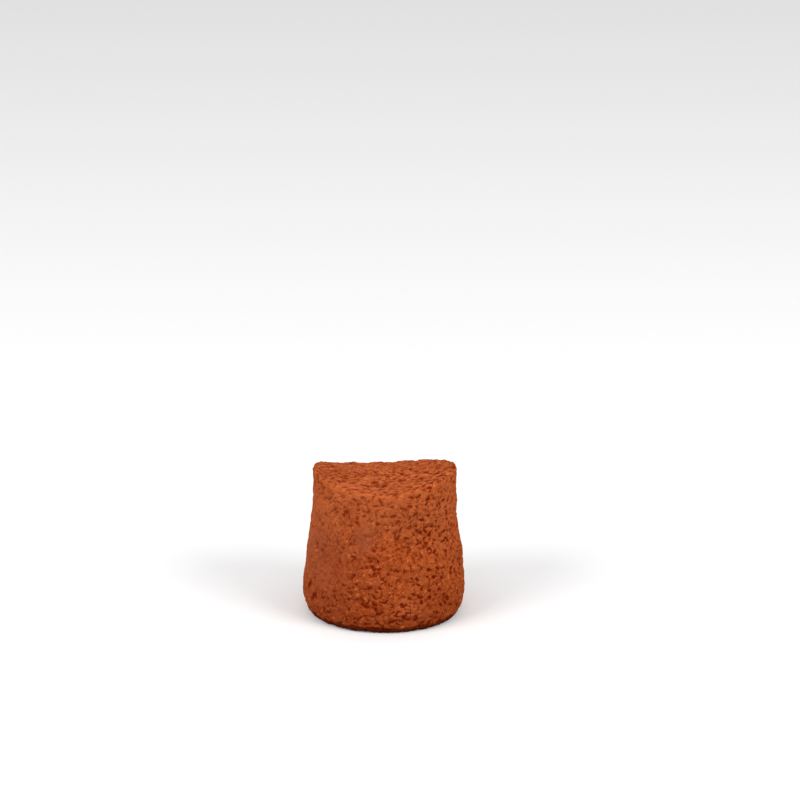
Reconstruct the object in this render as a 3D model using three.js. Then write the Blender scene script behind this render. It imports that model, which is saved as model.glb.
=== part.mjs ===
// A cocoa-dusted chocolate truffle: one soft plug of ganache that stands on a flared foot.
// Its side tapers to a round neck. Its cut top is a shallow saddle: two soft lips left and
// right, a lower rim in front and the lowest rim behind. It is one solid, in millimetres,
// with +Z up, its front facing -Y, and its origin on the floor under its middle.

import * as THREE from "three";
import { mergeVertices } from "three/addons/utils/BufferGeometryUtils.js";

// Driving sizes
const FLARE_RADIUS = 11.95; // widest part of the foot
const FLARE_HEIGHT = 4.2; // height of that widest part
const NECK_RADIUS = 10.62; // round neck under the rim
const NECK_HEIGHT = 18; // where the taper ends
const FOOT_TUCK = 0.9; // how far the side draws in below the flare
const FOOT_ROUND = 0.9; // rounding where the side meets the base
const RIM_ROUND = 0.55; // rounding of the rim
const DEPTH_SHARE = 0.985; // front to back, as a share of left to right

// The cut top, measured at the rim
const TOP_HEIGHT = 21.4; // mean height of the rim
const LIP_RISE = 1.1; // the lips stand above it, the front and back lie below it
const BACK_FALL = 0.89; // the front rises and the back falls by this
const RIGHT_RISE = 0.15; // the right lip rises and the left one falls by this
const DISH_DEPTH = 0.5; // hollow in the middle of the top
const LIFT_START = 7; // the shape of the top fades out down to this height

// Unevenness of the hand-soft body
const OVAL = [
  { lobes: 2, size: 0.05, turn: 0.6 },
  { lobes: 3, size: 0.11, turn: 2.1 },
  { lobes: 5, size: 0.05, turn: 4.4 },
];
const LEFT_LEDGE = { angle: 180, height: 4.9, wide: 3.4, tall: 1.3, size: 0.12 };
const LEFT_DENT = { angle: 180, height: 9.1, wide: 3.6, tall: 3, size: -0.28 };
const BACK_DENT = { angle: 62, height: 9.5, wide: 5.5, tall: 4.5, size: -0.5 };
const SIDE_DENT = { angle: 318, height: 13.5, wide: 4.5, tall: 3.5, size: -0.22 };
const BACK_BULGE = { angle: 118, height: 6, wide: 5, tall: 4, size: 0.35 };
const SPOTS = [LEFT_LEDGE, LEFT_DENT, BACK_DENT, SIDE_DENT, BACK_BULGE];
const SWELLS = { seed: 5, count: 10, shortest: 6, longest: 11, size: 0.13 };
const LUMPS = { seed: 24, count: 16, shortest: 2.6, longest: 4.6, size: 0.06 };
const RELIEF_FROM = 0.25; // the relief starts above this height, so the base stays flat
const RELIEF_FULL = 1.6;
const TOP_RELIEF = 0.6; // the relief's share on the cut top, which is calmer than the side

// Facets
const SEGMENTS = 100;
const SIDE_STEPS = 22;
const ROUND_STEPS = 4;
const TOP_RINGS = 9;
const MERGE_GAP = 1e-4;

// Drawing numbers: each state is the last one times DRAW_FACTOR plus DRAW_STEP
const DRAW_FACTOR = 1664525;
const DRAW_STEP = 1013904223;
const DRAW_RANGE = 2 ** 32;

const smooth = THREE.MathUtils.smoothstep;
const lerp = THREE.MathUtils.lerp;

// Radius of the side at a height, before any unevenness.
function sideRadius(height) {
  const taper = smooth(height, FLARE_HEIGHT, NECK_HEIGHT);
  const below = Math.max(0, 1 - height / FLARE_HEIGHT);
  return lerp(FLARE_RADIUS, NECK_RADIUS, taper) - FOOT_TUCK * below * below;
}

// Half of the truffle's section, from the middle of the base to the middle of the top.
function sectionPoints() {
  const points = [new THREE.Vector2(0, 0)];
  const footRadius = sideRadius(FOOT_ROUND) - FOOT_ROUND;
  for (let i = 0; i <= ROUND_STEPS; i++) {
    const turn = ((i / ROUND_STEPS) * Math.PI) / 2;
    const out = footRadius + FOOT_ROUND * Math.sin(turn);
    points.push(new THREE.Vector2(out, FOOT_ROUND * (1 - Math.cos(turn))));
  }
  const rimStart = TOP_HEIGHT - RIM_ROUND;
  for (let i = 1; i < SIDE_STEPS; i++) {
    const height = lerp(FOOT_ROUND, rimStart, i / SIDE_STEPS);
    points.push(new THREE.Vector2(sideRadius(height), height));
  }
  const rimRadius = sideRadius(rimStart) - RIM_ROUND;
  for (let i = 0; i <= ROUND_STEPS; i++) {
    const turn = ((i / ROUND_STEPS) * Math.PI) / 2;
    const out = rimRadius + RIM_ROUND * Math.cos(turn);
    points.push(new THREE.Vector2(out, rimStart + RIM_ROUND * Math.sin(turn)));
  }
  for (let i = TOP_RINGS - 1; i >= 0; i--) {
    points.push(new THREE.Vector2((rimRadius * i) / TOP_RINGS, TOP_HEIGHT));
  }
  return points;
}

// Numbers from 0 to 1 that are the same on every run.
function drawsFrom(seed) {
  let state = seed;
  return () => {
    state = (Math.imul(state, DRAW_FACTOR) + DRAW_STEP) >>> 0;
    return state / DRAW_RANGE;
  };
}

// Soft waves in random directions, which together make uneven swells or lumps. The share
// of each wave makes the root mean square height of their sum equal to the size.
function makeWaves({ seed, count, shortest, longest, size }) {
  const draw = drawsFrom(seed);
  const waves = [];
  for (let i = 0; i < count; i++) {
    const up = 2 * draw() - 1;
    const around = 2 * Math.PI * draw();
    const length = lerp(shortest, longest, draw());
    const phase = 2 * Math.PI * draw();
    const level = Math.sqrt(1 - up * up);
    const direction = new THREE.Vector3(
      level * Math.cos(around),
      level * Math.sin(around),
      up,
    );
    waves.push({ direction: direction.multiplyScalar((2 * Math.PI) / length), phase });
  }
  return { waves, share: size * Math.sqrt(2 / count) };
}

// How strong the relief is at a height.
function reliefShare(height) {
  const onTop = smooth(height, NECK_HEIGHT, TOP_HEIGHT);
  return smooth(height, RELIEF_FROM, RELIEF_FULL) * lerp(1, TOP_RELIEF, onTop);
}

function waveHeight({ waves, share }, point) {
  let sum = 0;
  for (const { direction, phase } of waves) sum += Math.sin(direction.dot(point) + phase);
  return share * sum;
}

// How far the rim and the cut top stand above or below TOP_HEIGHT.
function topLift(x, y) {
  const across = x / NECK_RADIUS;
  const back = y / NECK_RADIUS;
  const middle = Math.max(0, 1 - across * across - back * back);
  return (
    LIP_RISE * (across * across - back * back) -
    BACK_FALL * back +
    RIGHT_RISE * across -
    DISH_DEPTH * middle
  );
}

// One dent or bulge on the side, fading out round its middle.
function spotHeight(spot, angle, height) {
  const middle = THREE.MathUtils.degToRad(spot.angle);
  const turn = Math.atan2(Math.sin(angle - middle), Math.cos(angle - middle));
  const across = (turn * FLARE_RADIUS) / spot.wide;
  const up = (height - spot.height) / spot.tall;
  return spot.size * Math.exp(-across * across - up * up);
}

// Moves a point of the turned section to its place on the uneven truffle.
function unevenPoint(point) {
  const angle = Math.atan2(point.y, point.x);
  const out = Math.hypot(point.x, point.y) / FLARE_RADIUS;
  let push = 0;
  for (const { lobes, size, turn } of OVAL) push += size * Math.cos(lobes * angle + turn);
  for (const spot of SPOTS) push += spotHeight(spot, angle, point.z);
  const lift = topLift(point.x, point.y) * smooth(point.z, LIFT_START, TOP_HEIGHT);
  point.x += push * out * Math.cos(angle);
  point.y = (point.y + push * out * Math.sin(angle)) * DEPTH_SHARE;
  point.z += lift;
}

// The turned section as one closed mesh with shared corners.
function turnedBody() {
  const geometry = new THREE.LatheGeometry(sectionPoints(), SEGMENTS);
  geometry.rotateX(Math.PI / 2);
  geometry.deleteAttribute("normal");
  geometry.deleteAttribute("uv");
  return mergeVertices(geometry, MERGE_GAP);
}

function truffleGeometry() {
  const geometry = turnedBody();
  const places = geometry.getAttribute("position");
  const point = new THREE.Vector3();
  for (let i = 0; i < places.count; i++) {
    unevenPoint(point.fromBufferAttribute(places, i));
    places.setXYZ(i, point.x, point.y, point.z);
  }
  geometry.computeVertexNormals();
  const normals = geometry.getAttribute("normal");
  const normal = new THREE.Vector3();
  const swells = makeWaves(SWELLS);
  const lumps = makeWaves(LUMPS);
  for (let i = 0; i < places.count; i++) {
    point.fromBufferAttribute(places, i);
    const relief = waveHeight(swells, point) + waveHeight(lumps, point);
    normal.fromBufferAttribute(normals, i);
    point.addScaledVector(normal, relief * reliefShare(point.z));
    places.setXYZ(i, point.x, point.y, point.z);
  }
  geometry.deleteAttribute("normal");
  return geometry;
}

const cocoaCoating = new THREE.MeshStandardMaterial({
  color: new THREE.Color(0xab5229),
  roughness: 0.95,
  metalness: 0,
});

const truffle = new THREE.Mesh(truffleGeometry(), cocoaCoating);
truffle.name = "truffle";

const part = new THREE.Group();
part.add(truffle);

export default part;
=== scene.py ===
"""A cocoa-dusted chocolate truffle, dressed round its CAD solid.

The body is remade from the CAD solid as one fine closed mesh, with the clumps, pits and rubbed
patches of its powder coat pressed into it. Loose grains of the powder cling to it. Sizes are in
metres, with +Z up and the front facing -Y. Angles round the body start at +X and pass +Y.
"""

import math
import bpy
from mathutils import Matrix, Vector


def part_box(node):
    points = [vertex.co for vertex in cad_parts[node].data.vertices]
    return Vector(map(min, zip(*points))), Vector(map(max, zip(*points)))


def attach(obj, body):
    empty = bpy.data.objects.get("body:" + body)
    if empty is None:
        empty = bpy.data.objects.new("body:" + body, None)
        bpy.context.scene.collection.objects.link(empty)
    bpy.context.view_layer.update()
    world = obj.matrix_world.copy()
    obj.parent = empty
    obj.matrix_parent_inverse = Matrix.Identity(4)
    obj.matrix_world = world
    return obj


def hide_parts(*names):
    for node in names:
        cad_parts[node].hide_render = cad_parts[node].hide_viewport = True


bl_info = {
    "name": "Cocoa Truffle",
    "version": (1, 0, 0),
    "blender": (4, 5, 0),
    "location": "3D View > Sidebar > Truffle",
    "description": "Dresses a chocolate truffle with a coat of cocoa powder",
    "category": "Add Mesh",
}

from typing import NamedTuple

import bpy
import numpy as np
from bpy.props import FloatProperty, FloatVectorProperty, IntProperty, PointerProperty
from mathutils import Euler, Vector, noise

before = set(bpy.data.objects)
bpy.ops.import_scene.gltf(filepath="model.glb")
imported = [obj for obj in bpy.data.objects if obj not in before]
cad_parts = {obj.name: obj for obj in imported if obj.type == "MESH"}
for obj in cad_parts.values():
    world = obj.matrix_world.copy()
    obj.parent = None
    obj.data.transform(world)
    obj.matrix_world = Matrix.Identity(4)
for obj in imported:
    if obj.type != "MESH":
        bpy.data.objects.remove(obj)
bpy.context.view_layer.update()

MM = 0.001
NODE = "truffle"
BODY = "root"
BODY_PIECE = "truffle_body"
GRAIN_PIECE = "cocoa_grains"

NODE_LOW, NODE_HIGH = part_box(NODE)
TRUFFLE_RADIUS = (NODE_HIGH.x - NODE_LOW.x) / 2

# Where the truffle stands in the picture, which is 800 pixels wide and high
PICTURE_SIDE = 800
TRUFFLE_COLUMN = 384.2
TRUFFLE_ROW = 543.7
AIM_HEIGHT = 10 * MM
SENSOR_WIDTH = 36  # millimetres, as a camera states it
NEAREST_SEEN = 0.01
FARTHEST_SEEN = 20

FLOOR_SIDE = 4.0
LIGHT_WIDTH = 0.4
WHITE = (1, 1, 1, 1)

# Patches of the coat: angle in degrees, height, reach to each side, reach up and down, strength
CALM_PATCHES = (
    (206, 10 * MM, 6.5 * MM, 7.5 * MM, 1.0),
    (228, 8 * MM, 4.5 * MM, 6.5 * MM, 0.75),
    (255, 14.4 * MM, 2.1 * MM, 3.1 * MM, 0.95),
    (268, 18.2 * MM, 5.0 * MM, 2.2 * MM, 0.4),
    (62, 9.5 * MM, 5.0 * MM, 4.5 * MM, 0.7),
    (140, 15 * MM, 4.0 * MM, 3.0 * MM, 0.6),
)
# Painted shade: patches that darken the coat where shade falls on the front side; those on the
# back only vary its tone
SHADED_PATCHES = (
    (250, 11.0 * MM, 9.0 * MM, 3.4 * MM, 1.0),
    (188, 21.6 * MM, 5.0 * MM, 3.0 * MM, 0.9),
    (241, 17.5 * MM, 1.5 * MM, 1.6 * MM, 1.9),
    (252.5, 12.6 * MM, 1.4 * MM, 1.6 * MM, 0.9),
    (268, 11.3 * MM, 2.2 * MM, 1.9 * MM, 1.3),
    (280, 13.2 * MM, 1.8 * MM, 1.1 * MM, 1.4),
    (270, 13.6 * MM, 1.6 * MM, 1.4 * MM, 0.9),
    (248, 14.4 * MM, 1.2 * MM, 1.2 * MM, 0.9),
    (289, 14.4 * MM, 1.2 * MM, 1.0 * MM, 0.6),
    (300, 12.3 * MM, 1.2 * MM, 1.2 * MM, 0.9),
    (265, 4.4 * MM, 1.2 * MM, 1.2 * MM, 0.9),
    (234, 10.0 * MM, 1.8 * MM, 1.5 * MM, 1.4),
    (223, 10.9 * MM, 1.8 * MM, 1.5 * MM, 1.2),
    (192, 18.5 * MM, 4.0 * MM, 2.5 * MM, 0.5),
    (85, 12.0 * MM, 3.0 * MM, 5.0 * MM, 0.7),
    (40, 6.0 * MM, 2.5 * MM, 2.0 * MM, 0.7),
    (130, 9.0 * MM, 1.8 * MM, 2.5 * MM, 0.8),
)
# Painted light: paler patches on the front side where more light falls and light is thrown back
# onto it; on the back they only vary the coat's tone
PALE_PATCHES = (
    (299, 17.8 * MM, 2.6 * MM, 1.4 * MM, 0.6),
    (326, 16.5 * MM, 3.5 * MM, 3.0 * MM, 0.8),
    (215, 17.5 * MM, 5.0 * MM, 2.5 * MM, 0.5),
    (190, 13.0 * MM, 2.6 * MM, 6.0 * MM, 0.6),
    (322, 13.5 * MM, 4.0 * MM, 2.5 * MM, 0.4),
    (331, 15.0 * MM, 1.3 * MM, 1.4 * MM, 0.7),
    (288, 4.4 * MM, 2.8 * MM, 1.6 * MM, 1.0),
    (306, 16.7 * MM, 1.6 * MM, 1.2 * MM, 1.2),
    (276, 15.7 * MM, 1.2 * MM, 0.9 * MM, 0.8),
    (274, 2.4 * MM, 2.2 * MM, 1.0 * MM, 0.7),
    (236, 20.8 * MM, 2.4 * MM, 1.2 * MM, 1.0),
    (266, 7.8 * MM, 1.6 * MM, 1.8 * MM, 0.6),
    (293, 7.2 * MM, 1.4 * MM, 1.2 * MM, 0.5),
    (15, 15.0 * MM, 3.0 * MM, 2.0 * MM, 0.6),
    (110, 17.0 * MM, 3.0 * MM, 2.0 * MM, 0.6),
)
# Painted light on the top beside its lips
PAINTED_LIGHT_TOP_PATCHES = (
    (160, 21.2 * MM, 6.0 * MM, 3.0 * MM, 0.8),
    (319, 21.9 * MM, 3.0 * MM, 3.0 * MM, 0.8),
    (342, 21.7 * MM, 3.0 * MM, 3.0 * MM, 1.0),
)
# Where the painted contact shadow along the bottom is thickest, in front
CONTACT_SHADOW_FRONT = ((266, 0.6 * MM, 12.0 * MM, 3.0 * MM, 1.0),)
CLEAN_RIM = ((268, 21.2 * MM, 6.5 * MM, 3.0 * MM, 1.0),)
LEDGES = (
    (184, 9.8 * MM, 3.5 * MM, 1.1 * MM, 0.8),
    (188, 5.8 * MM, 3.5 * MM, 1.0 * MM, 0.6),
    (200, 2.2 * MM, 4.0 * MM, 1.1 * MM, 1.0),
)
# Scratches: the same numbers, and then how many degrees each leans to the side
SCRATCHES = (
    (203.5, 5.35 * MM, 0.3 * MM, 0.85 * MM, 1.0, 24),
    (210.8, 4.1 * MM, 0.32 * MM, 1.35 * MM, 1.0, 40),
)
BROKEN_PATCHES = (
    (320, 15.0 * MM, 6.5 * MM, 7.0 * MM, 0.9),
    (274, 11.2 * MM, 3.2 * MM, 1.6 * MM, 0.8),
    (278, 4.2 * MM, 9.0 * MM, 3.2 * MM, 1.0),
    (243, 17.8 * MM, 1.6 * MM, 1.6 * MM, 0.8),
    (315, 20.2 * MM, 4.5 * MM, 1.8 * MM, 1.1),
    (205, 20.0 * MM, 4.0 * MM, 1.8 * MM, 0.4),
    (335, 22.4 * MM, 5.5 * MM, 2.0 * MM, 0.8),
    (190, 22.2 * MM, 5.0 * MM, 1.5 * MM, 0.5),
    (20, 10 * MM, 6.0 * MM, 7.0 * MM, 0.5),
    (105, 7 * MM, 6.0 * MM, 5.0 * MM, 0.6),
)


class Humps(NamedTuple):
    """A layer of soft noise: how much it adds, the width of its humps, and its seed."""

    amount: float
    size: float
    seed: int


class Marks(NamedTuple):
    """A kind of short mark. Its sizes on the side and on top are half its length and width."""

    spacing: float
    seed: int
    side_size: tuple
    top_size: tuple


# How far points are moved across, forward and up, so that marks drawn on them have crooked edges
CROOKS = (
    [Humps(0.24 * MM, 0.7 * MM, seed) for seed in (1, 2, 3)],
    [Humps(0.1 * MM, 0.3 * MM, seed) for seed in (16, 17, 18)],
)
CALM_HUMPS = Humps(0.25, 3.5 * MM, 4)
CREVICE_HUMPS = Humps(1, 0.7 * MM, 13)
CLUSTER_HUMPS = Humps(0.9, 2.4 * MM, 12)
RIPPLE_HUMPS = Humps(1, 0.55 * MM, 22)
RIPPLE_STRETCH = np.array((0.8, 1.05, 1))  # the top's ripples run from side to side
COARSE_GRIT = Humps(1, 0.36 * MM, 8)
FINE_GRIT = Humps(0.6, 0.2 * MM, 9)
SWELL_HUMPS = Humps(0.03 * MM, 1.5 * MM, 10)
STREAK_HUMPS = Humps(1, 0.6 * MM, 11)
STREAK_STRETCH = 8  # how many times as long as wide the streaks are
CONTACT_SHADOW_WAVES = Humps(0.5 * MM, 1.5 * MM, 20)
CONTACT_SHADOW_TEETH = Humps(0.3 * MM, 0.45 * MM, 21)

WIDE_PITS = Marks(1.3 * MM, 19, (0.6 * MM, 0.28 * MM), (0.5 * MM, 0.62 * MM))
LARGE_PITS = Marks(0.9 * MM, 1, (0.48 * MM, 0.24 * MM), (0.38 * MM, 0.5 * MM))
SMALL_PITS = Marks(0.55 * MM, 2, (0.24 * MM, 0.15 * MM), (0.2 * MM, 0.4 * MM))
SPECKS = Marks(0.6 * MM, 3, (0.25 * MM, 0.17 * MM), (0.25 * MM, 0.42 * MM))

# What each kind of surface adds to the share of places that have a mark
WIDE_PIT_SHARES = {"broken": 0.85, "top": 0.6, "rim": 0.4}
PIT_SHARES = {"broken": 0.5, "top": 0.6, "rim": 0.5, "plain": 0.05}
SPECK_SHARES = {"top": 0.4}

# How a mark is drawn
MARK_LENGTHS = (0.6, 0.7)  # the shortest, and how much the longest adds to it
MARK_WIDTHS = (0.7, 0.5)  # the same across
MARK_TILT = math.radians(110)  # between the steepest marks to either side
MARK_REACH = 1.15  # where it fades to nothing, as a share of half its size
MARK_EDGE = 0.6  # width of its soft edge, as the same share
MARK_CHANCE_EDGE = 0.5  # how far the share passes a mark's own chance before it shows fully
MARK_TOP_RANGE = (0.5, 0.85)  # of how far up the surface faces: here marks take their top sizes

# How far each step of a seed shifts the noise and the places of marks
NOISE_SHIFT = np.array((3.7, 5.3, 7.1))
CELL_SHIFT = np.array((5.9, 2.3, 4.1))

# Each scattered mark draws its own numbers from where it lies
DRAW_MIX = np.array(((12.99, 78.23, 37.72), (39.35, 11.14, 83.16), (73.16, 52.24, 9.15))).T
DRAW_SPREAD = 43758.5

# A surface that faces up more than this has +X and +Y as its own directions
LEVEL_FROM = 0.75

# Kinds of surface. Each range says where one starts and where it holds fully
CALM_RANGE = (0.15, 0.8)  # of the cover of the calm patches
UPWARD_RANGE = (0.6, 0.95)  # of how far up the surface faces
CLEAN_RANGE = (6.0 * MM, 10.3 * MM)  # of the distance from the axis
PLAIN_RANGE = (9 * MM, 15 * MM)  # of the height
RIPPLE_FADE_RANGE = (7.5 * MM, 9.5 * MM)  # of the distance from the axis
UNDER_RIM_START = 0.9  # as a share of the height of the painted shade
UNDER_RIM_GAP = 1.5 * MM  # how far below the highest lip it holds fully
CALM_LOSS = 0.6  # what calm patches take off the relief
CLEAN_TOP_LOSS = 0.4  # what the clean part of the rim takes off the top's marks
CLEAN_RIM_LOSS = 0.7  # and off the rim's
RIPPLE_FADE = 0.8  # what the ripples lose towards the rim
HALFWAY_SCALE = 4  # makes a share times what is left of it 1 at the most

# Clumps, and the crevices between them: how far one reaches into the clumps, and its slope
DOME_REACH = 0.7
SIDE_CLUMP_SEED = 1
TOP_CLUMP_SEED = 14
TOP_CLUMP_SIZE = 1.5
SIDE_CREVICE = (0.2, 0.16)
TOP_CREVICE = (0.25, 0.2)
CREVICE_OPEN_RANGE = (-0.05, 0.3)

# Pits and specks: what is left of them in the calm patches, and what they lose elsewhere
CALM_PIT_SHARE = 0.55
CALM_PIT_DEPTH = 0.45
CALM_SPECK_SHARE = 0.6
CALM_SPECK_STRENGTH = 0.5
SMALL_PIT_DEPTH = 0.7
CREVICE_DEPTH = 0.7
UNDER_RIM_PIT_LOSS = 0.15
PLAIN_PIT_LOSS = 0.38

# The top keeps its pits mainly to the hollows between its ripples
HOLLOW_RANGE = (-0.1, 0.3)  # of how far a hollow lies below the middle of the ripples
CREST_PIT = 0.35  # what is left of a pit on a crest
HOLLOW_PIT = 0.55  # what a hollow adds to that
HOLLOW_SHADE = 0.48  # how much painted shade a hollow has by itself
BROKEN_HOLLOW_SHADE = 0.25  # and what a broken patch adds to that
TOP_PIT_LOSS = 0.65  # how much shallower the top's pits are

# Heights
DOME_MIDDLE = 0.5  # the part of a dome that lies level with the solid
CALM_GRIT = 0.6  # what is left of the grit in the calm patches
TOP_GRIT = 0.3  # what the top adds to it
SPECK_HEIGHT = 0.04 * MM
RIPPLE_HEIGHT = 0.14 * MM
STREAK_HEIGHT = 0.04 * MM
SCRATCH_STRENGTH = 1.3

# How strongly the painted shade, the painted light and the streaks darken or lighten the coat, and
# what the cut top and the rim take off the painted light
SHADED_TONE = 0.6
STREAK_TONE = 0.35
PALE_TONE = 1.5
PAINTED_LIGHT_TOP_TONE = 0.6
TOP_PAINTED_LIGHT_LOSS = 0.6
RIM_PAINTED_LIGHT_LOSS = 0.3

# The painted contact shadow along the bottom is this much thinner behind, and fades out from this
# share of its height
CONTACT_SHADOW_BACK_LOSS = 0.5 * MM
CONTACT_SHADOW_FADE_START = 0.6

# The fine mesh of the body
WELD_GAP = 0.001 * MM
SMOOTH_FACTOR = 0.5
SMOOTH_ROUNDS = 9

# How each mask tints the coat, in this order: its greatest share, and the colour it brings
MASK_TINTS = (
    # greyer where the coat is pressed smooth, partly a painted sheen
    ("calm", 0.45, "rubbed_and_sheen"),
    # painted shade towards the bottom and in the shaded patches, and the darker streaks
    ("shade_and_streaks", 0.46, "dark_powder_and_painted_shade"),
    # painted light on the upper side and in the pale patches, and the paler streaks
    ("painted_light_and_streaks", 0.27, "pale_powder_and_painted_light"),
    ("speck", 1.0, "pale_powder_and_painted_light"),
    # painted shade in the pits, crevices and hollows, partly the dark chocolate under the powder,
    # and the dark scratches
    ("pit_and_shade", 1.0, "pit_and_shade"),
    # a painted contact shadow along the bottom
    ("painted_contact_shadow", 0.95, "painted_contact_shadow"),
)

# The shader breaks up the edges of these masks: how much, and the range of the mask it keeps
RAGGED_MASKS = ("pit_and_shade", "speck", "painted_contact_shadow")
EDGE_BREAK = 0.6
EDGE_START = 0.06
EDGE_END = 0.94

# The powder's grain in the materials: its width, and how far its tones are spread
COAT_POWDER = (0.24 * MM, 1.9)
COAT_DUST = (0.08 * MM, 1.9)
LOOSE_POWDER = (0.09 * MM, 0.8)
USUAL_POWDER = (0.16 * MM, 1.0)
DUST_SHARE = 0.5  # of the coat's tone
OWN_TONE_SHARE = 0.65  # how much of a loose grain's tone is its own
CLOUD_SCALE = 0.42  # of the clouds in the powder, against its grains
CLOUD_SHARE = 0.55  # how much of the tone they make
CLOUD_DETAIL = 3.0
CLOUD_ROUGHNESS = 0.65
MIDDLE_TONE = 0.5
DARK_STOP = 0.12
LIGHT_STOP = 0.88

# Bumps: strength and height
POWDER_BUMP = (0.75, 0.04 * MM)
DUST_BUMP = (0.8, 0.02 * MM)

POWDER_FINISH = {
    "Roughness": 0.95,
    "Specular IOR Level": 0.02,
    "Sheen Weight": 0.01,
    "Sheen Roughness": 0.6,
    "Sheen Tint": (1.0, 0.6, 0.4, 1.0),
}
FLOOR_FINISH = {"Roughness": 0.9, "Specular IOR Level": 0.1}


class CoatSettings(bpy.types.PropertyGroup):
    """Sizes of the powder coat's relief."""

    mesh_size: FloatProperty(
        name="Mesh Size",
        description="Width of the body's faces",
        default=0.173 * MM,
        min=0.1 * MM,
        precision=6,
        unit="LENGTH",
    )
    clump_size: FloatProperty(
        name="Clump Size",
        description="Width of the powder's clumps",
        default=0.95 * MM,
        precision=6,
        unit="LENGTH",
    )
    clump_height: FloatProperty(
        name="Clump Height",
        description="How far the clumps stand out",
        default=0.1 * MM,
        precision=6,
        unit="LENGTH",
    )
    pit_depth: FloatProperty(
        name="Pit Depth",
        description="Depth of the pits between the clumps",
        default=0.17 * MM,
        precision=6,
        unit="LENGTH",
    )
    # Painted shade: the coat darkens from this height down to the bottom
    painted_shade_height: FloatProperty(
        name="Foot Height",
        description="How high the darker powder of the foot reaches",
        default=15 * MM,
        precision=6,
        unit="LENGTH",
    )
    # Painted contact shadow: how high the dark line along the bottom reaches
    painted_contact_shadow_height: FloatProperty(
        name="Bare Height",
        description="How high the foot is bare of powder",
        default=1.4 * MM,
        precision=6,
        unit="LENGTH",
    )
    ledge_height: FloatProperty(
        name="Ledge Height",
        description="How far the ledges on the left stand out",
        default=0.2 * MM,
        precision=6,
        unit="LENGTH",
    )
    pit_share: FloatProperty(
        name="Pit Share",
        description="How much of the gaps between the clumps is open",
        default=0.6,
        min=0,
        max=1,
        subtype="FACTOR",
    )
    speck_share: FloatProperty(
        name="Speck Share",
        description="How much of the coat has pale crumbs on it",
        default=0.85,
        min=0,
        max=1,
        subtype="FACTOR",
    )
    grit_height: FloatProperty(
        name="Grit Height",
        description="Height of the finest relief in the mesh",
        default=0.028 * MM,
        precision=6,
        unit="LENGTH",
    )


class ColourSettings(bpy.types.PropertyGroup):
    """Colours of the cocoa powder."""

    powder: FloatVectorProperty(
        name="Powder",
        description="Middle tone of the cocoa powder",
        default=(0.403, 0.087, 0.0195),
        min=0,
        max=1,
        subtype="COLOR",
    )
    # Also the colour of the painted light on the upper side and in the pale patches
    pale_powder_and_painted_light: FloatVectorProperty(
        name="Light Powder",
        description="Palest grains of the powder",
        default=(0.55, 0.132, 0.04),
        min=0,
        max=1,
        subtype="COLOR",
    )
    # Also the colour of the painted shade towards the bottom and in the shaded patches
    dark_powder_and_painted_shade: FloatVectorProperty(
        name="Dark Powder",
        description="Darkest grains of the powder",
        default=(0.22, 0.024, 0.0015),
        min=0,
        max=1,
        subtype="COLOR",
    )
    # Painted shade in the pits, crevices and hollows, partly the dark chocolate under the powder
    pit_and_shade: FloatVectorProperty(
        name="Pit",
        description="Dark chocolate at the bottom of the pits",
        default=(0.155, 0.0105, 0.0005),
        min=0,
        max=1,
        subtype="COLOR",
    )
    # Painted contact shadow along the bottom, in the colour of dark chocolate
    painted_contact_shadow: FloatVectorProperty(
        name="Bare Chocolate",
        description="Chocolate where the powder is missing",
        default=(0.09, 0.009, 0.002),
        min=0,
        max=1,
        subtype="COLOR",
    )
    # Partly a painted sheen: the greyer tint of the calm patches
    rubbed_and_sheen: FloatVectorProperty(
        name="Rubbed Powder",
        description="Powder pressed smooth, a little greyer",
        default=(0.25, 0.075, 0.044),
        min=0,
        max=1,
        subtype="COLOR",
    )


class GrainSettings(bpy.types.PropertyGroup):
    """Loose grains that cling to the coat."""

    count: IntProperty(
        name="Grains",
        description="Number of grains",
        default=5000,
        min=0,
        max=9000,
    )
    smallest: FloatProperty(
        name="Smallest",
        description="Width of the smallest grain",
        default=0.12 * MM,
        precision=6,
        unit="LENGTH",
    )
    largest: FloatProperty(
        name="Largest",
        description="Width of the largest grain",
        default=0.3 * MM,
        precision=6,
        unit="LENGTH",
    )
    seed: IntProperty(name="Seed", description="Start of the random draws", default=7)


class StageSettings(bpy.types.PropertyGroup):
    """Floor, light and camera."""

    distance: FloatProperty(
        name="Camera Distance",
        description="From the camera to the truffle",
        default=0.42,
        unit="LENGTH",
    )
    elevation: FloatProperty(
        name="Camera Elevation",
        description="Angle from which the camera looks down on the truffle",
        default=math.radians(20.5),
        subtype="ANGLE",
        unit="ROTATION",
    )
    view_width: FloatProperty(
        name="View Width",
        description="Width that the picture takes in at the truffle",
        default=0.1189,
        unit="LENGTH",
    )
    floor_colour: FloatVectorProperty(
        name="Floor",
        description="Colour of the floor",
        default=(0.92, 0.92, 0.92),
        min=0,
        max=1,
        subtype="COLOR",
    )
    floor_bounce: FloatVectorProperty(
        name="Floor Bounce",
        description="Colour of the light that the floor throws back",
        default=(0.25, 0.2, 0.17),
        min=0,
        max=1,
        subtype="COLOR",
    )
    sky_strength: FloatProperty(
        name="Surrounding Light",
        description="Strength of the even light from all round",
        default=0.7,
        min=0,
    )
    light_power: FloatProperty(
        name="Side Lights",
        description="Power of each of the two soft lights",
        default=2.15,
        min=0,
        unit="POWER",
    )
    light_distance: FloatProperty(
        name="Light Distance",
        description="From the truffle to each soft light",
        default=0.6,
        unit="LENGTH",
    )
    light_spread: FloatProperty(
        name="Light Spread",
        description="Angle from the front to each soft light",
        default=math.radians(55),
        subtype="ANGLE",
        unit="ROTATION",
    )
    light_elevation: FloatProperty(
        name="Light Elevation",
        description="Angle of the soft lights above the floor",
        default=math.radians(30),
        subtype="ANGLE",
        unit="ROTATION",
    )


# The form of the coat


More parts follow.
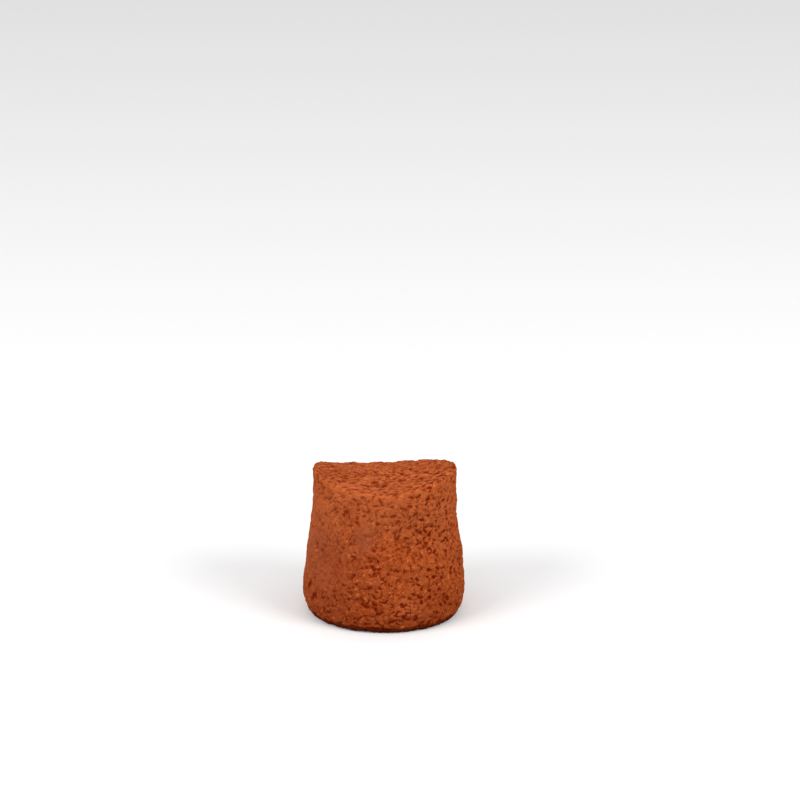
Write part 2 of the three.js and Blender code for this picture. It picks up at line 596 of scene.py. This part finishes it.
def smooth_step(value, low, high):
    """0 below low, 1 above high, and a smooth rise between them."""
    share = np.clip((value - low) / (high - low), 0, 1)
    return share * share * (3 - 2 * share)


def blend(first, second, share):
    """The first where the share is 0, the second where it is 1, and between them elsewhere."""
    return first + (second - first) * share


def at_least(least, share):
    """Rises from the least to 1 with the share."""
    return least + (1 - least) * share


def soft_noise(points, humps):
    """Noise at each point, from about minus to plus the humps' amount."""
    shifted = points / humps.size + humps.seed * NOISE_SHIFT
    return humps.amount * np.array([noise.noise(place) for place in shifted.tolist()])


def clump_cells(points, size, seed):
    """Distances from each point to its nearest two clump centres, as shares of the clump size."""
    shifted = points / size + seed * CELL_SHIFT
    nearest = [noise.voronoi(place)[0][:2] for place in shifted.tolist()]
    return np.array(nearest).T


def patch_cover(points, patches):
    """How strongly the patches cover each point: 0 outside, a patch's strength in its middle."""
    angle = np.arctan2(points[:, 1], points[:, 0])
    cover = np.zeros(len(points))
    for degrees, height, wide, tall, strength, *lean in patches:
        turn = angle - math.radians(degrees)
        turn = np.arctan2(np.sin(turn), np.cos(turn))
        across = turn * TRUFFLE_RADIUS
        up = points[:, 2] - height
        leaning = math.radians(lean[0]) if lean else 0
        sideways = across * math.cos(leaning) - up * math.sin(leaning)
        upwards = up * math.cos(leaning) + across * math.sin(leaning)
        fade = np.exp(-((sideways / wide) ** 2) - (upwards / tall) ** 2)
        cover = np.maximum(cover, strength * fade)
    return cover


def surface_frame(normals):
    """Directions across and along the surface: level and upward on the side, +X and +Y on top."""
    on_top = np.abs(normals[:, 2:]) > LEVEL_FROM
    across = np.where(on_top, (1.0, 0.0, 0.0), np.cross((0.0, 0.0, 1.0), normals))
    across -= normals * np.sum(across * normals, axis=1, keepdims=True)
    across /= np.linalg.norm(across, axis=1, keepdims=True)
    return across, np.cross(normals, across)


def scattered(points, normals, spacing, seed):
    """The nearest of the places scattered this far apart: its offset, its three random draws."""
    shifted = points / spacing + seed * CELL_SHIFT
    centres = np.array([noise.voronoi(place)[1][0][:] for place in shifted.tolist()])
    offset = (shifted - centres) * spacing
    across, along = surface_frame(normals)
    parts = [np.sum(offset * way, axis=1) for way in (across, along, normals)]
    draws = np.abs(np.sin(centres @ DRAW_MIX)) * DRAW_SPREAD
    return parts, (draws % 1).T


def mark_size(on_side, on_top, top, span, draw):
    """Half the length or half the width of each mark."""
    least, more = span
    return blend(on_side, on_top, top) * (least + more * draw)


def draw_marks(points, normals, marks, share):
    """Marks in this share of their places: 1 in the middle of each, and 0 outside."""
    placed = scattered(points, normals, marks.spacing, marks.seed)
    (level, up, deep), (chance, size, tilt) = placed
    top = smooth_step(normals[:, 2], *MARK_TOP_RANGE)
    half_length = mark_size(marks.side_size[0], marks.top_size[0], top, MARK_LENGTHS, size)
    half_width = mark_size(marks.side_size[1], marks.top_size[1], top, MARK_WIDTHS, size)
    turn = (tilt - 0.5) * MARK_TILT
    first = level * np.cos(turn) + up * np.sin(turn)
    second = up * np.cos(turn) - level * np.sin(turn)
    reach = (first / half_length) ** 2 + (second / half_width) ** 2 + (deep / half_length) ** 2
    cover = smooth_step(MARK_REACH - np.sqrt(reach), 0, MARK_EDGE)
    return cover * smooth_step(share - chance, 0, MARK_CHANCE_EDGE)


def crooked(points):
    """The points moved a little this way and that."""
    moved = points
    for layers in CROOKS:
        moved = moved + np.stack([soft_noise(points, humps) for humps in layers], axis=1)
    return moved


def smear(points):
    """Upright streaks where the coat is rubbed smooth."""
    angle = np.arctan2(points[:, 1], points[:, 0])
    around = np.stack([np.cos(angle), np.sin(angle)], axis=1) * TRUFFLE_RADIUS
    drawn = np.column_stack([around, points[:, 2] / STREAK_STRETCH])
    return soft_noise(drawn, STREAK_HUMPS)


def coat_regions(points, normals, settings):
    """How strongly each kind of surface holds at each point."""
    height = points[:, 2]
    from_axis = np.hypot(points[:, 0], points[:, 1])
    calm = patch_cover(points, CALM_PATCHES)
    calm = np.clip(calm + soft_noise(points, CALM_HUMPS), 0, 1)
    broken = patch_cover(points, BROKEN_PATCHES)
    clean = patch_cover(points, CLEAN_RIM)
    upward = smooth_step(normals[:, 2], *UPWARD_RANGE)
    halfway_up = upward * (1 - upward) * HALFWAY_SCALE
    under_rim = (UNDER_RIM_START * settings.painted_shade_height, NODE_HIGH.z - UNDER_RIM_GAP)
    upper = smooth_step(height, *PLAIN_RANGE)
    return {
        "calm": calm,
        "lively": 1 - CALM_LOSS * smooth_step(calm, *CALM_RANGE),
        "broken": broken,
        "upward": upward,
        "top": upward * (1 - CLEAN_TOP_LOSS * clean * smooth_step(from_axis, *CLEAN_RANGE)),
        "rim": halfway_up * (1 - CLEAN_RIM_LOSS * clean),
        "under_rim": smooth_step(height, *under_rim),
        "plain": upper * (1 - np.minimum(broken, 1)) * (1 - upward),
        "rippled": upward * (1 - RIPPLE_FADE * smooth_step(from_axis, *RIPPLE_FADE_RANGE)),
    }


def clump_domes(points, bent, where, settings):
    """The domes of the powder's clumps, and the open crevices between the clumps."""
    near, far = clump_cells(bent, settings.clump_size, SIDE_CLUMP_SEED)
    dome = 1 - (near / DOME_REACH) ** 2
    opened = smooth_step(soft_noise(points, CREVICE_HUMPS), *CREVICE_OPEN_RANGE)
    reach, slope = SIDE_CREVICE
    on_side = smooth_step(reach - (far - near), 0, slope) * opened
    near, far = clump_cells(bent, TOP_CLUMP_SIZE * settings.clump_size, TOP_CLUMP_SEED)
    reach, slope = TOP_CREVICE
    on_top = smooth_step(reach - (far - near), 0, slope) * opened
    return dome, blend(on_side, on_top, where["upward"])


def marked_share(share, where, additions):
    """The share of places that have a mark, with what each kind of surface adds to it."""
    for name, addition in additions.items():
        share = share + addition * where[name]
    return share


def coat_pits(points, bent, normals, where, crevice, ripple, settings):
    """How deep each point lies in pits, crevices and the top's hollows, from 0 to 1. The same
    numbers darken the coat there as painted shade.
    """
    lively = where["lively"]
    cluster = 1 + soft_noise(points, CLUSTER_HUMPS)
    share = marked_share(0, where, WIDE_PIT_SHARES) * cluster
    wide = draw_marks(bent, normals, WIDE_PITS, share)
    share = settings.pit_share * at_least(CALM_PIT_SHARE, lively)
    share = marked_share(share, where, PIT_SHARES) * cluster
    large = draw_marks(bent, normals, LARGE_PITS, share)
    small = draw_marks(bent, normals, SMALL_PITS, share)
    pit_and_shade = np.maximum(large, SMALL_PIT_DEPTH * small)
    pit_and_shade = np.maximum(pit_and_shade, np.maximum(wide, CREVICE_DEPTH * crevice))
    pit_and_shade *= at_least(CALM_PIT_DEPTH, lively) * (1 - UNDER_RIM_PIT_LOSS * where["under_rim"])
    pit_and_shade = np.minimum(pit_and_shade, 1 - PLAIN_PIT_LOSS * where["plain"])
    # Painted shade in the hollows between the top's ripples
    hollow = smooth_step(-ripple, *HOLLOW_RANGE)
    tint = (HOLLOW_SHADE + BROKEN_HOLLOW_SHADE * where["broken"]) * hollow
    top_pit = pit_and_shade * (CREST_PIT + HOLLOW_PIT * hollow) + tint * (1 - pit_and_shade)
    return blend(pit_and_shade, top_pit, where["upward"])


def coat_specks(bent, normals, where, pit_and_shade, settings):
    """Pale crumbs, from 0 to 1, which keep out of the pits."""
    lively = where["lively"]
    share = settings.speck_share * at_least(CALM_SPECK_SHARE, lively)
    speck = draw_marks(bent, normals, SPECKS, marked_share(share, where, SPECK_SHARES))
    return speck * (1 - pit_and_shade) * at_least(CALM_SPECK_STRENGTH, lively)


def painted_contact_shadow_line(points, settings):
    """The ragged dark line along the bottom of the truffle: a painted contact shadow, thickest in
    front.
    """
    ragged = soft_noise(points, CONTACT_SHADOW_WAVES) + soft_noise(points, CONTACT_SHADOW_TEETH)
    ragged += CONTACT_SHADOW_BACK_LOSS * (1 - patch_cover(points, CONTACT_SHADOW_FRONT))
    fade = (CONTACT_SHADOW_FADE_START * settings.painted_contact_shadow_height, settings.painted_contact_shadow_height)
    return 1 - smooth_step(points[:, 2] + ragged, *fade)


def coat_relief(points, normals, settings):
    """Height of the coat above the solid at each point, with its masks."""
    bent = crooked(points)
    where = coat_regions(points, normals, settings)
    lively = where["lively"]
    upward = where["upward"]
    dome, crevice = clump_domes(points, bent, where, settings)
    ripple = soft_noise(bent * RIPPLE_STRETCH, RIPPLE_HUMPS)
    pit_and_shade = coat_pits(points, bent, normals, where, crevice, ripple, settings)
    speck = coat_specks(bent, normals, where, pit_and_shade, settings)
    scratches = SCRATCH_STRENGTH * patch_cover(bent, SCRATCHES)
    pit_and_shade = np.maximum(pit_and_shade, np.minimum(scratches, 1))
    streaks = smear(points)
    grit = soft_noise(points, COARSE_GRIT) + soft_noise(points, FINE_GRIT)

    height = settings.clump_height * lively * (dome - DOME_MIDDLE)
    height += settings.grit_height * (at_least(CALM_GRIT, lively) + TOP_GRIT * where["top"]) * grit
    height += soft_noise(points, SWELL_HUMPS) * lively
    height += SPECK_HEIGHT * speck
    height += RIPPLE_HEIGHT * ripple * where["rippled"]
    height += STREAK_HEIGHT * streaks * (1 - lively)
    height += settings.ledge_height * patch_cover(points, LEDGES)
    height -= settings.pit_depth * pit_and_shade * (1 - TOP_PIT_LOSS * upward)

    # Painted shade: darker towards the bottom and in the shaded patches; the darker streaks belong
    # to the coat
    shade_and_streaks = 1 - smooth_step(points[:, 2], 0, settings.painted_shade_height)
    shade_and_streaks += SHADED_TONE * patch_cover(bent, SHADED_PATCHES)
    shade_and_streaks += STREAK_TONE * np.maximum(streaks, 0) * (1 - lively)
    # Painted light: paler on the upper side, less on the top and the rim, and in the pale patches;
    # the paler streaks belong to the coat
    painted_light_and_streaks = where["under_rim"] * (1 - TOP_PAINTED_LIGHT_LOSS * where["top"] - RIM_PAINTED_LIGHT_LOSS * where["rim"])
    painted_light_and_streaks += PALE_TONE * patch_cover(bent, PALE_PATCHES)
    painted_light_and_streaks += PAINTED_LIGHT_TOP_TONE * where["top"] * patch_cover(bent, PAINTED_LIGHT_TOP_PATCHES)
    painted_light_and_streaks += STREAK_TONE * np.maximum(-streaks, 0) * (1 - lively)
    masks = {
        "pit_and_shade": pit_and_shade,
        "calm": where["calm"],
        "speck": speck,
        "shade_and_streaks": shade_and_streaks,
        "painted_light_and_streaks": painted_light_and_streaks,
        "painted_contact_shadow": painted_contact_shadow_line(points, settings),
    }
    return height, masks


def fine_body_mesh(settings):
    """The CAD solid as an even, smooth, fine mesh."""
    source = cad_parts[NODE].data.copy()
    draft = bpy.data.objects.new("body_draft", source)
    bpy.context.scene.collection.objects.link(draft)
    weld = draft.modifiers.new("Weld", "WELD")
    weld.merge_threshold = WELD_GAP
    remesh = draft.modifiers.new("Remesh", "REMESH")
    remesh.mode = "VOXEL"
    remesh.voxel_size = settings.mesh_size
    soften = draft.modifiers.new("Smooth", "SMOOTH")
    soften.factor = SMOOTH_FACTOR
    soften.iterations = SMOOTH_ROUNDS
    graph = bpy.context.evaluated_depsgraph_get()
    mesh = bpy.data.meshes.new_from_object(draft.evaluated_get(graph))
    bpy.data.objects.remove(draft)
    bpy.data.meshes.remove(source)
    return mesh


def vertex_values(mesh, name):
    """A vector of every vertex, such as its place or its normal."""
    values = np.empty(len(mesh.vertices) * 3)
    if name == "normal":
        mesh.vertex_normals.foreach_get("vector", values)
    else:
        mesh.vertices.foreach_get(name, values)
    return values.reshape(-1, 3)


def add_mask(mesh, name, values):
    """Keeps one number for each vertex, for the materials to read."""
    mask = mesh.attributes.new(name, "FLOAT", "POINT")
    mask.data.foreach_set("value", values.astype(np.float32))


def mask_values(mesh, name):
    """The numbers that the mesh keeps for its vertices under this name."""
    values = np.empty(len(mesh.vertices), np.float32)
    mesh.attributes[name].data.foreach_get("value", values)
    return values


def show(mesh, name, material):
    """A piece of the truffle, which rides with its solid."""
    piece = bpy.data.objects.new(name, mesh)
    bpy.context.scene.collection.objects.link(piece)
    mesh.materials.clear()
    mesh.materials.append(material)
    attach(piece, BODY)
    return piece


# Materials

# Distances in the node editor
NODE_STEP = 180
MIX_STEP = 90
MASK_ROW = -150
MASK_ROW_STEP = -200


def add_node(tree, kind, place, **values):
    """A node at a place in its tree, with values for its settings or inputs."""
    made = tree.nodes.new(kind)
    made.location = place
    for name, value in values.items():
        if name in made.inputs:
            made.inputs[name].default_value = value
        else:
            setattr(made, name, value)
    return made


def powder_group():
    """Grain of the cocoa powder: a tone that changes from grain to grain, and its height."""
    name = "Cocoa Powder Grain"
    if name in bpy.data.node_groups:
        return bpy.data.node_groups[name]
    group = bpy.data.node_groups.new(name, "ShaderNodeTree")
    face = group.interface
    for title, usual in zip(("Grain Size", "Tone Spread"), USUAL_POWDER):
        socket = face.new_socket(title, in_out="INPUT", socket_type="NodeSocketFloat")
        socket.default_value = usual
    for title in ("Tone", "Height"):
        face.new_socket(title, in_out="OUTPUT", socket_type="NodeSocketFloat")

    link = group.links.new
    inputs = add_node(group, "NodeGroupInput", (-900, 0))
    place = add_node(group, "ShaderNodeTexCoord", (-900, 220))
    per_size = add_node(group, "ShaderNodeMath", (-700, 0), operation="DIVIDE")
    per_size.inputs[0].default_value = 1.0
    link(inputs.outputs["Grain Size"], per_size.inputs[1])
    grains = add_node(group, "ShaderNodeTexVoronoi", (-480, 260))
    link(place.outputs["Object"], grains.inputs["Vector"])
    link(per_size.outputs[0], grains.inputs["Scale"])
    cloud = add_node(
        group,
        "ShaderNodeTexNoise",
        (-480, -60),
        Detail=CLOUD_DETAIL,
        Roughness=CLOUD_ROUGHNESS,
    )
    link(place.outputs["Object"], cloud.inputs["Vector"])
    link(scaled(group, (-700, -200), per_size.outputs[0], CLOUD_SCALE), cloud.inputs["Scale"])
    shade = add_node(group, "ShaderNodeSeparateColor", (-280, 260))
    link(grains.outputs["Color"], shade.inputs["Color"])
    mixed = mix_tone(group, (-80, 160), CLOUD_SHARE, shade.outputs["Red"], cloud.outputs["Fac"])
    centred = add_node(group, "ShaderNodeMath", (120, 160), operation="SUBTRACT")
    centred.inputs[1].default_value = MIDDLE_TONE
    link(mixed, centred.inputs[0])
    tone = add_node(
        group,
        "ShaderNodeMath",
        (300, 160),
        operation="MULTIPLY_ADD",
        use_clamp=True,
    )
    tone.inputs[2].default_value = MIDDLE_TONE
    link(centred.outputs[0], tone.inputs[0])
    link(inputs.outputs["Tone Spread"], tone.inputs[1])
    rise = add_node(group, "ShaderNodeMath", (-80, -120), operation="SUBTRACT")
    link(cloud.outputs["Fac"], rise.inputs[0])
    link(grains.outputs["Distance"], rise.inputs[1])
    outputs = add_node(group, "NodeGroupOutput", (520, 60))
    link(tone.outputs[0], outputs.inputs["Tone"])
    link(rise.outputs[0], outputs.inputs["Height"])
    return group


def place_powder(tree, place, grain_size, tone_spread):
    """The powder's grain in a material, with its own width and spread of tones."""
    powder = add_node(tree, "ShaderNodeGroup", place, node_tree=powder_group())
    powder.inputs["Grain Size"].default_value = grain_size
    powder.inputs["Tone Spread"].default_value = tone_spread
    return powder


def new_material(name, finish):
    """An empty material with its output, and its shader with this finish."""
    material = bpy.data.materials.new(name)
    material.use_nodes = True
    tree = material.node_tree
    tree.nodes.clear()
    output = add_node(tree, "ShaderNodeOutputMaterial", (900, 0))
    shader = add_node(tree, "ShaderNodeBsdfPrincipled", (600, 0))
    tree.links.new(shader.outputs[0], output.inputs["Surface"])
    for socket, value in finish.items():
        shader.inputs[socket].default_value = value
    return material, tree, shader


def mix_colour(tree, place, share, first, second):
    """Mixes two colours, each a socket or a plain colour, by a socket's share."""
    mixed = add_node(tree, "ShaderNodeMix", place, data_type="RGBA")
    tree.links.new(share, mixed.inputs[0])
    for socket, value in ((mixed.inputs[6], first), (mixed.inputs[7], second)):
        if isinstance(value, bpy.types.NodeSocket):
            tree.links.new(value, socket)
        else:
            socket.default_value = (*value, 1)
    return mixed.outputs[2]


def mix_tone(tree, place, share, first, second):
    """Mixes the tones of two sockets by a fixed share."""
    mixed = add_node(tree, "ShaderNodeMix", place, data_type="FLOAT")
    mixed.inputs[0].default_value = share
    tree.links.new(first, mixed.inputs[2])
    tree.links.new(second, mixed.inputs[3])
    return mixed.outputs[0]


def scaled(tree, place, socket, factor):
    """A socket's value times a factor."""
    times = add_node(tree, "ShaderNodeMath", place, operation="MULTIPLY")
    times.inputs[1].default_value = factor
    tree.links.new(socket, times.inputs[0])
    return times.outputs[0]


def read_mask(tree, place, name):
    """The number that the mesh keeps for each vertex under this name."""
    mask = add_node(tree, "ShaderNodeAttribute", place, attribute_name=name)
    return mask.outputs["Fac"]


def ragged_edge(tree, place, mask, tone):
    """A mask whose soft edge is broken up grain by grain."""
    shifted = add_node(tree, "ShaderNodeMath", place, operation="MULTIPLY_ADD")
    tree.links.new(tone, shifted.inputs[0])
    shifted.inputs[1].default_value = EDGE_BREAK
    tree.links.new(mask, shifted.inputs[2])
    crisp = add_node(tree, "ShaderNodeMapRange", (place[0] + NODE_STEP, place[1]))
    crisp.interpolation_type = "SMOOTHSTEP"
    crisp.inputs["From Min"].default_value = EDGE_START + EDGE_BREAK / 2
    crisp.inputs["From Max"].default_value = EDGE_END + EDGE_BREAK / 2
    tree.links.new(shifted.outputs[0], crisp.inputs["Value"])
    return crisp.outputs["Result"]


def grain_bumps(tree, shader, grains):
    """Bumps for grains of several sizes, each laid over the one before it."""
    normal = None
    for step, (powder, strength, distance) in enumerate(grains):
        place = (200 + NODE_STEP * step, -450)
        bump = add_node(tree, "ShaderNodeBump", place, Strength=strength, Distance=distance)
        tree.links.new(powder.outputs["Height"], bump.inputs["Height"])
        if normal is not None:
            tree.links.new(normal, bump.inputs["Normal"])
        normal = bump.outputs["Normal"]
    tree.links.new(normal, shader.inputs["Normal"])


def powder_colours(tree, colours, tone):
    """The powder's colour, from its dark grains to its pale ones."""
    ramp = add_node(tree, "ShaderNodeValToRGB", (-250, 250))
    stops = ramp.color_ramp.elements
    stops[0].position = DARK_STOP
    stops[0].color = (*colours.dark_powder_and_painted_shade, 1)
    stops[1].position = LIGHT_STOP
    stops[1].color = (*colours.pale_powder_and_painted_light, 1)
    middle = stops.new(MIDDLE_TONE)
    middle.color = (*colours.powder, 1)
    tree.links.new(tone, ramp.inputs["Fac"])
    return ramp.outputs["Color"]


def coat_material(colours):
    """The powder coat: grain by grain colour, painted shade in its pits and low down, painted
    light higher up, a painted contact shadow along the bottom, and greyer with a painted sheen
    where it is pressed smooth.
    """
    material, tree, shader = new_material("cocoa_coat", POWDER_FINISH)
    powder = place_powder(tree, (-500, 100), *COAT_POWDER)
    dust = place_powder(tree, (-700, 300), *COAT_DUST)
    tone = mix_tone(tree, (-400, 300), DUST_SHARE, powder.outputs["Tone"], dust.outputs["Tone"])
    colour = powder_colours(tree, colours, tone)
    for step, (name, share, tint) in enumerate(MASK_TINTS):
        row = MASK_ROW + MASK_ROW_STEP * step
        mask = read_mask(tree, (-900, row), name)
        if name in RAGGED_MASKS:
            mask = ragged_edge(tree, (-700, row), mask, tone)
        strength = scaled(tree, (-250, row), mask, share)
        place = (MIX_STEP * step, 250)
        colour = mix_colour(tree, place, strength, colour, getattr(colours, tint))
    tree.links.new(colour, shader.inputs["Base Color"])
    grain_bumps(tree, shader, ((dust, *DUST_BUMP), (powder, *POWDER_BUMP)))
    return material


def grain_material(colours):
    """Loose grains: one tone for each grain, with the powder's grit on it."""
    material, tree, shader = new_material("cocoa_grain", POWDER_FINISH)
    powder = place_powder(tree, (-700, 100), *LOOSE_POWDER)
    own_tone = read_mask(tree, (-700, -150), "tone")
    tone = mix_tone(tree, (-450, 50), OWN_TONE_SHARE, powder.outputs["Tone"], own_tone)
    tree.links.new(powder_colours(tree, colours, tone), shader.inputs["Base Color"])
    grain_bumps(tree, shader, ((powder, *DUST_BUMP),))
    return material


def floor_material(settings):
    """A plain pale matt floor, which throws less light back than it shows."""
    material, tree, shader = new_material("studio_floor", FLOOR_FINISH)
    path = add_node(tree, "ShaderNodeLightPath", (100, 200))
    seen = path.outputs["Is Camera Ray"]
    colour = mix_colour(tree, (350, 200), seen, settings.floor_bounce, settings.floor_colour)
    tree.links.new(colour, shader.inputs["Base Color"])
    return material


# Loose grains

GOLDEN = (1 + math.sqrt(5)) / 2
ROUND_CORNERS = np.array(
    [
        (-1, GOLDEN, 0), (1, GOLDEN, 0), (-1, -GOLDEN, 0), (1, -GOLDEN, 0),
        (0, -1, GOLDEN), (0, 1, GOLDEN), (0, -1, -GOLDEN), (0, 1, -GOLDEN),
        (GOLDEN, 0, -1), (GOLDEN, 0, 1), (-GOLDEN, 0, -1), (-GOLDEN, 0, 1),
    ]
) / math.hypot(1, GOLDEN)
ROUND_FACES = np.array(
    [
        (0, 11, 5), (0, 5, 1), (0, 1, 7), (0, 7, 10), (0, 10, 11),
        (1, 5, 9), (5, 11, 4), (11, 10, 2), (10, 7, 6), (7, 1, 8),
        (3, 9, 4), (3, 4, 2), (3, 2, 6), (3, 6, 8), (3, 8, 9),
        (4, 9, 5), (2, 4, 11), (6, 2, 10), (8, 6, 7), (9, 8, 1),
    ]
)

# How many fewer grains the calm patches and the painted contact shadow hold
CALM_GRAIN_LOSS = 0.6
CONTACT_SHADOW_GRAIN_LOSS = 0.7

# How a grain is drawn
SMALL_BIAS = 2.2  # above 1, more of the grains are small
CORNER_RANGE = (0.6, 1.2)  # how far its corners stand out
STRETCH_RANGE = (0.55, 1.2)  # how long its sides are
SINK = 0.2  # how far its middle lies in the coat, as a share of its width
GRAIN_TONE = 0.55
GRAIN_TONE_SPREAD = 0.22


def scattered_grains(body, settings):
    """Corners, faces and tones of the grains, with most of each sunk in the body's coat."""
    draw = np.random.default_rng(settings.seed)
    places = vertex_values(body, "co")
    normals = vertex_values(body, "normal")
    calm = mask_values(body, "calm")
    painted_contact_shadow = mask_values(body, "painted_contact_shadow")
    chance = (1 - CALM_GRAIN_LOSS * calm) * (1 - CONTACT_SHADOW_GRAIN_LOSS * painted_contact_shadow)
    chosen = draw.choice(len(places), settings.count, replace=False, p=chance / chance.sum())
    growth = settings.largest / settings.smallest
    widths = settings.smallest * growth ** (draw.random(settings.count) ** SMALL_BIAS)
    corners = np.repeat(ROUND_CORNERS[None], settings.count, axis=0)
    corners = corners * draw.uniform(*CORNER_RANGE, (settings.count, len(ROUND_CORNERS), 1))
    corners = corners * draw.uniform(*STRETCH_RANGE, (settings.count, 1, 3))
    turns, _ = np.linalg.qr(draw.normal(size=(settings.count, 3, 3)))
    turned = np.einsum("gij,gcj->gci", turns, corners) * (widths / 2)[:, None, None]
    sunk = places[chosen] + normals[chosen] * (-SINK * widths)[:, None]
    points = (sunk[:, None] + turned).reshape(-1, 3)
    points[:, 2] = np.maximum(points[:, 2], 0)
    faces = ROUND_FACES[None] + len(ROUND_CORNERS) * np.arange(settings.count)[:, None, None]
    flipped = np.linalg.det(turns) < 0
    faces[flipped] = faces[flipped][:, :, ::-1]
    tones = np.clip(draw.normal(GRAIN_TONE, GRAIN_TONE_SPREAD, settings.count), 0, 1)
    return points, faces.reshape(-1, 3), np.repeat(tones, len(ROUND_CORNERS))


# Operators


class TRUFFLE_OT_make_stage(bpy.types.Operator):
    """Make the floor, the lights and the camera"""

    bl_idname = "truffle.make_stage"
    bl_label = "Make Stage"

    def execute(self, context):
        settings = context.scene.truffle_stage
        make_camera(context.scene, settings)
        make_floor(context.scene, settings)
        make_lights(context.scene, settings)
        return {"FINISHED"}


def make_camera(scene, settings):
    """A camera that sees the truffle where it stands in the picture."""
    camera = bpy.data.cameras.new("camera")
    camera.sensor_width = SENSOR_WIDTH
    camera.lens = SENSOR_WIDTH * settings.distance / settings.view_width
    holder = bpy.data.objects.new("camera", camera)
    scene.collection.objects.link(holder)
    tilt = settings.elevation
    back = Vector((0, -math.cos(tilt), math.sin(tilt)))
    holder.location = Vector((0, 0, AIM_HEIGHT)) + back * settings.distance
    pixels_per_sensor = PICTURE_SIDE / SENSOR_WIDTH * camera.lens
    turn_up = math.atan((TRUFFLE_ROW - PICTURE_SIDE / 2) / pixels_per_sensor)
    turn_right = math.atan((PICTURE_SIDE / 2 - TRUFFLE_COLUMN) / pixels_per_sensor)
    aimed = (-back).to_track_quat("-Z", "Y")
    holder.rotation_mode = "QUATERNION"
    holder.rotation_quaternion = aimed @ Euler((turn_up, -turn_right, 0)).to_quaternion()
    camera.clip_start = NEAREST_SEEN
    camera.clip_end = FARTHEST_SEEN
    scene.camera = holder


def make_floor(scene, settings):
    """A wide flat floor under the truffle."""
    mesh = bpy.data.meshes.new("floor")
    half = FLOOR_SIDE / 2
    corners = [(-half, -half, 0), (half, -half, 0), (half, half, 0), (-half, half, 0)]
    mesh.from_pydata(corners, [], [(0, 1, 2, 3)])
    mesh.materials.append(floor_material(settings))
    floor = bpy.data.objects.new("floor", mesh)
    scene.collection.objects.link(floor)


def make_lights(scene, settings):
    """Even white light from all round, and a soft light on each side of the front."""
    world = bpy.data.worlds.new("studio")
    world.use_nodes = True
    sky = world.node_tree.nodes["Background"]
    sky.inputs["Color"].default_value = WHITE
    sky.inputs["Strength"].default_value = settings.sky_strength
    scene.world = world
    for name, side in (("left_light", -1), ("right_light", 1)):
        light = bpy.data.lights.new(name, "AREA")
        light.shape = "DISK"
        light.size = LIGHT_WIDTH
        light.energy = settings.light_power
        holder = bpy.data.objects.new(name, light)
        scene.collection.objects.link(holder)
        around = side * settings.light_spread
        level = settings.light_distance * math.cos(settings.light_elevation)
        height = settings.light_distance * math.sin(settings.light_elevation)
        holder.location = (level * math.sin(around), -level * math.cos(around), height)
        holder.rotation_euler = (-holder.location).to_track_quat("-Z", "Y").to_euler()
    scene.view_settings.view_transform = "Standard"


class TRUFFLE_OT_make_body(bpy.types.Operator):
    """Make the truffle's body with its coat of cocoa powder"""

    bl_idname = "truffle.make_body"
    bl_label = "Make Body"

    def execute(self, context):
        settings = context.scene.truffle_coat
        mesh = fine_body_mesh(settings)
        places = vertex_values(mesh, "co")
        normals = vertex_values(mesh, "normal")
        height, masks = coat_relief(places, normals, settings)
        places = places + normals * height[:, None]
        places[:, 2] = np.maximum(places[:, 2], 0)
        mesh.vertices.foreach_set("co", places.ravel())
        for name, values in masks.items():
            add_mask(mesh, name, values)
        mesh.update()
        mesh.shade_smooth()
        mesh.name = BODY_PIECE
        body = show(mesh, BODY_PIECE, coat_material(context.scene.truffle_colours))
        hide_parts(NODE)
        return {"FINISHED"}


class TRUFFLE_OT_make_grains(bpy.types.Operator):
    """Make the loose cocoa grains that cling to the body"""

    bl_idname = "truffle.make_grains"
    bl_label = "Make Grains"

    def execute(self, context):
        body = bpy.data.objects.get(BODY_PIECE)
        if body is None:
            raise RuntimeError("make the body before its grains")
        points, faces, tones = scattered_grains(body.data, context.scene.truffle_grains)
        mesh = bpy.data.meshes.new(GRAIN_PIECE)
        mesh.from_pydata(points.tolist(), [], faces.tolist())
        add_mask(mesh, "tone", tones)
        show(mesh, GRAIN_PIECE, grain_material(context.scene.truffle_colours))
        return {"FINISHED"}


class TRUFFLE_PT_sidebar(bpy.types.Panel):
    """Settings and steps of the truffle"""

    bl_idname = "TRUFFLE_PT_sidebar"
    bl_label = "Truffle"
    bl_space_type = "VIEW_3D"
    bl_region_type = "UI"
    bl_category = "Truffle"

    def draw(self, context):
        scene = context.scene
        for title, settings, step in (
            ("Stage", scene.truffle_stage, TRUFFLE_OT_make_stage),
            ("Coat", scene.truffle_coat, TRUFFLE_OT_make_body),
            ("Colours", scene.truffle_colours, None),
            ("Grains", scene.truffle_grains, TRUFFLE_OT_make_grains),
        ):
            box = self.layout.box()
            box.label(text=title)
            for name in settings.__annotations__:
                box.prop(settings, name)
            if step is not None:
                box.operator(step.bl_idname)


CLASSES = (
    CoatSettings,
    ColourSettings,
    GrainSettings,
    StageSettings,
    TRUFFLE_OT_make_stage,
    TRUFFLE_OT_make_body,
    TRUFFLE_OT_make_grains,
    TRUFFLE_PT_sidebar,
)


def register():
    for cls in CLASSES:
        bpy.utils.register_class(cls)
    bpy.types.Scene.truffle_coat = PointerProperty(type=CoatSettings)
    bpy.types.Scene.truffle_colours = PointerProperty(type=ColourSettings)
    bpy.types.Scene.truffle_grains = PointerProperty(type=GrainSettings)
    bpy.types.Scene.truffle_stage = PointerProperty(type=StageSettings)


def unregister():
    del bpy.types.Scene.truffle_stage
    del bpy.types.Scene.truffle_grains
    del bpy.types.Scene.truffle_colours
    del bpy.types.Scene.truffle_coat
    for cls in reversed(CLASSES):
        bpy.utils.unregister_class(cls)


def main():
    """Makes the stage and the truffle."""
    register()
    bpy.ops.truffle.make_stage()
    bpy.ops.truffle.make_body()
    bpy.ops.truffle.make_grains()


if __name__ == "__main__":
    main()
